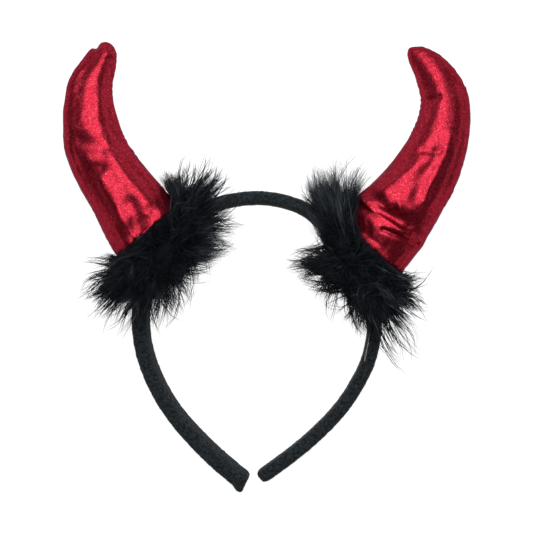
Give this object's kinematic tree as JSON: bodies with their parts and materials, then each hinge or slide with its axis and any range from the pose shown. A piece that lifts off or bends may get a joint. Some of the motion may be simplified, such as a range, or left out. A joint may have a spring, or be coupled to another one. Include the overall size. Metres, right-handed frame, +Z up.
{
  "type": "devil horns headband",
  "caption": "Felt-covered hair band with curved stuffed horns of metallic cloth, each ringed at its foot with fluffy feather trim, lying on its back.",
  "frame": {"origin": "on the surface that the headband lies on, under the middle of its bounding box", "axes": "+Z up from the surface, +Y from the ends of the band to the horns, +X from the left horn to the right one as seen from above"},
  "size_m": [0.2103, 0.2304, 0.045],
  "materials": {
    "band_felt": "matte brushed felt",
    "horn_cloth": "metallic foil cloth, satin to glossy",
    "base_felt": "matte felt",
    "feather": "soft matte down"
  },
  "bodies": {
    "root": {"band": "band_felt", "horn_left": "horn_cloth", "horn_right": "horn_cloth", "horn_left_base": "base_felt", "horn_right_base": "base_felt", "feather_trim_left": "feather", "feather_trim_right": "feather"}
  },
  "joints": []
}
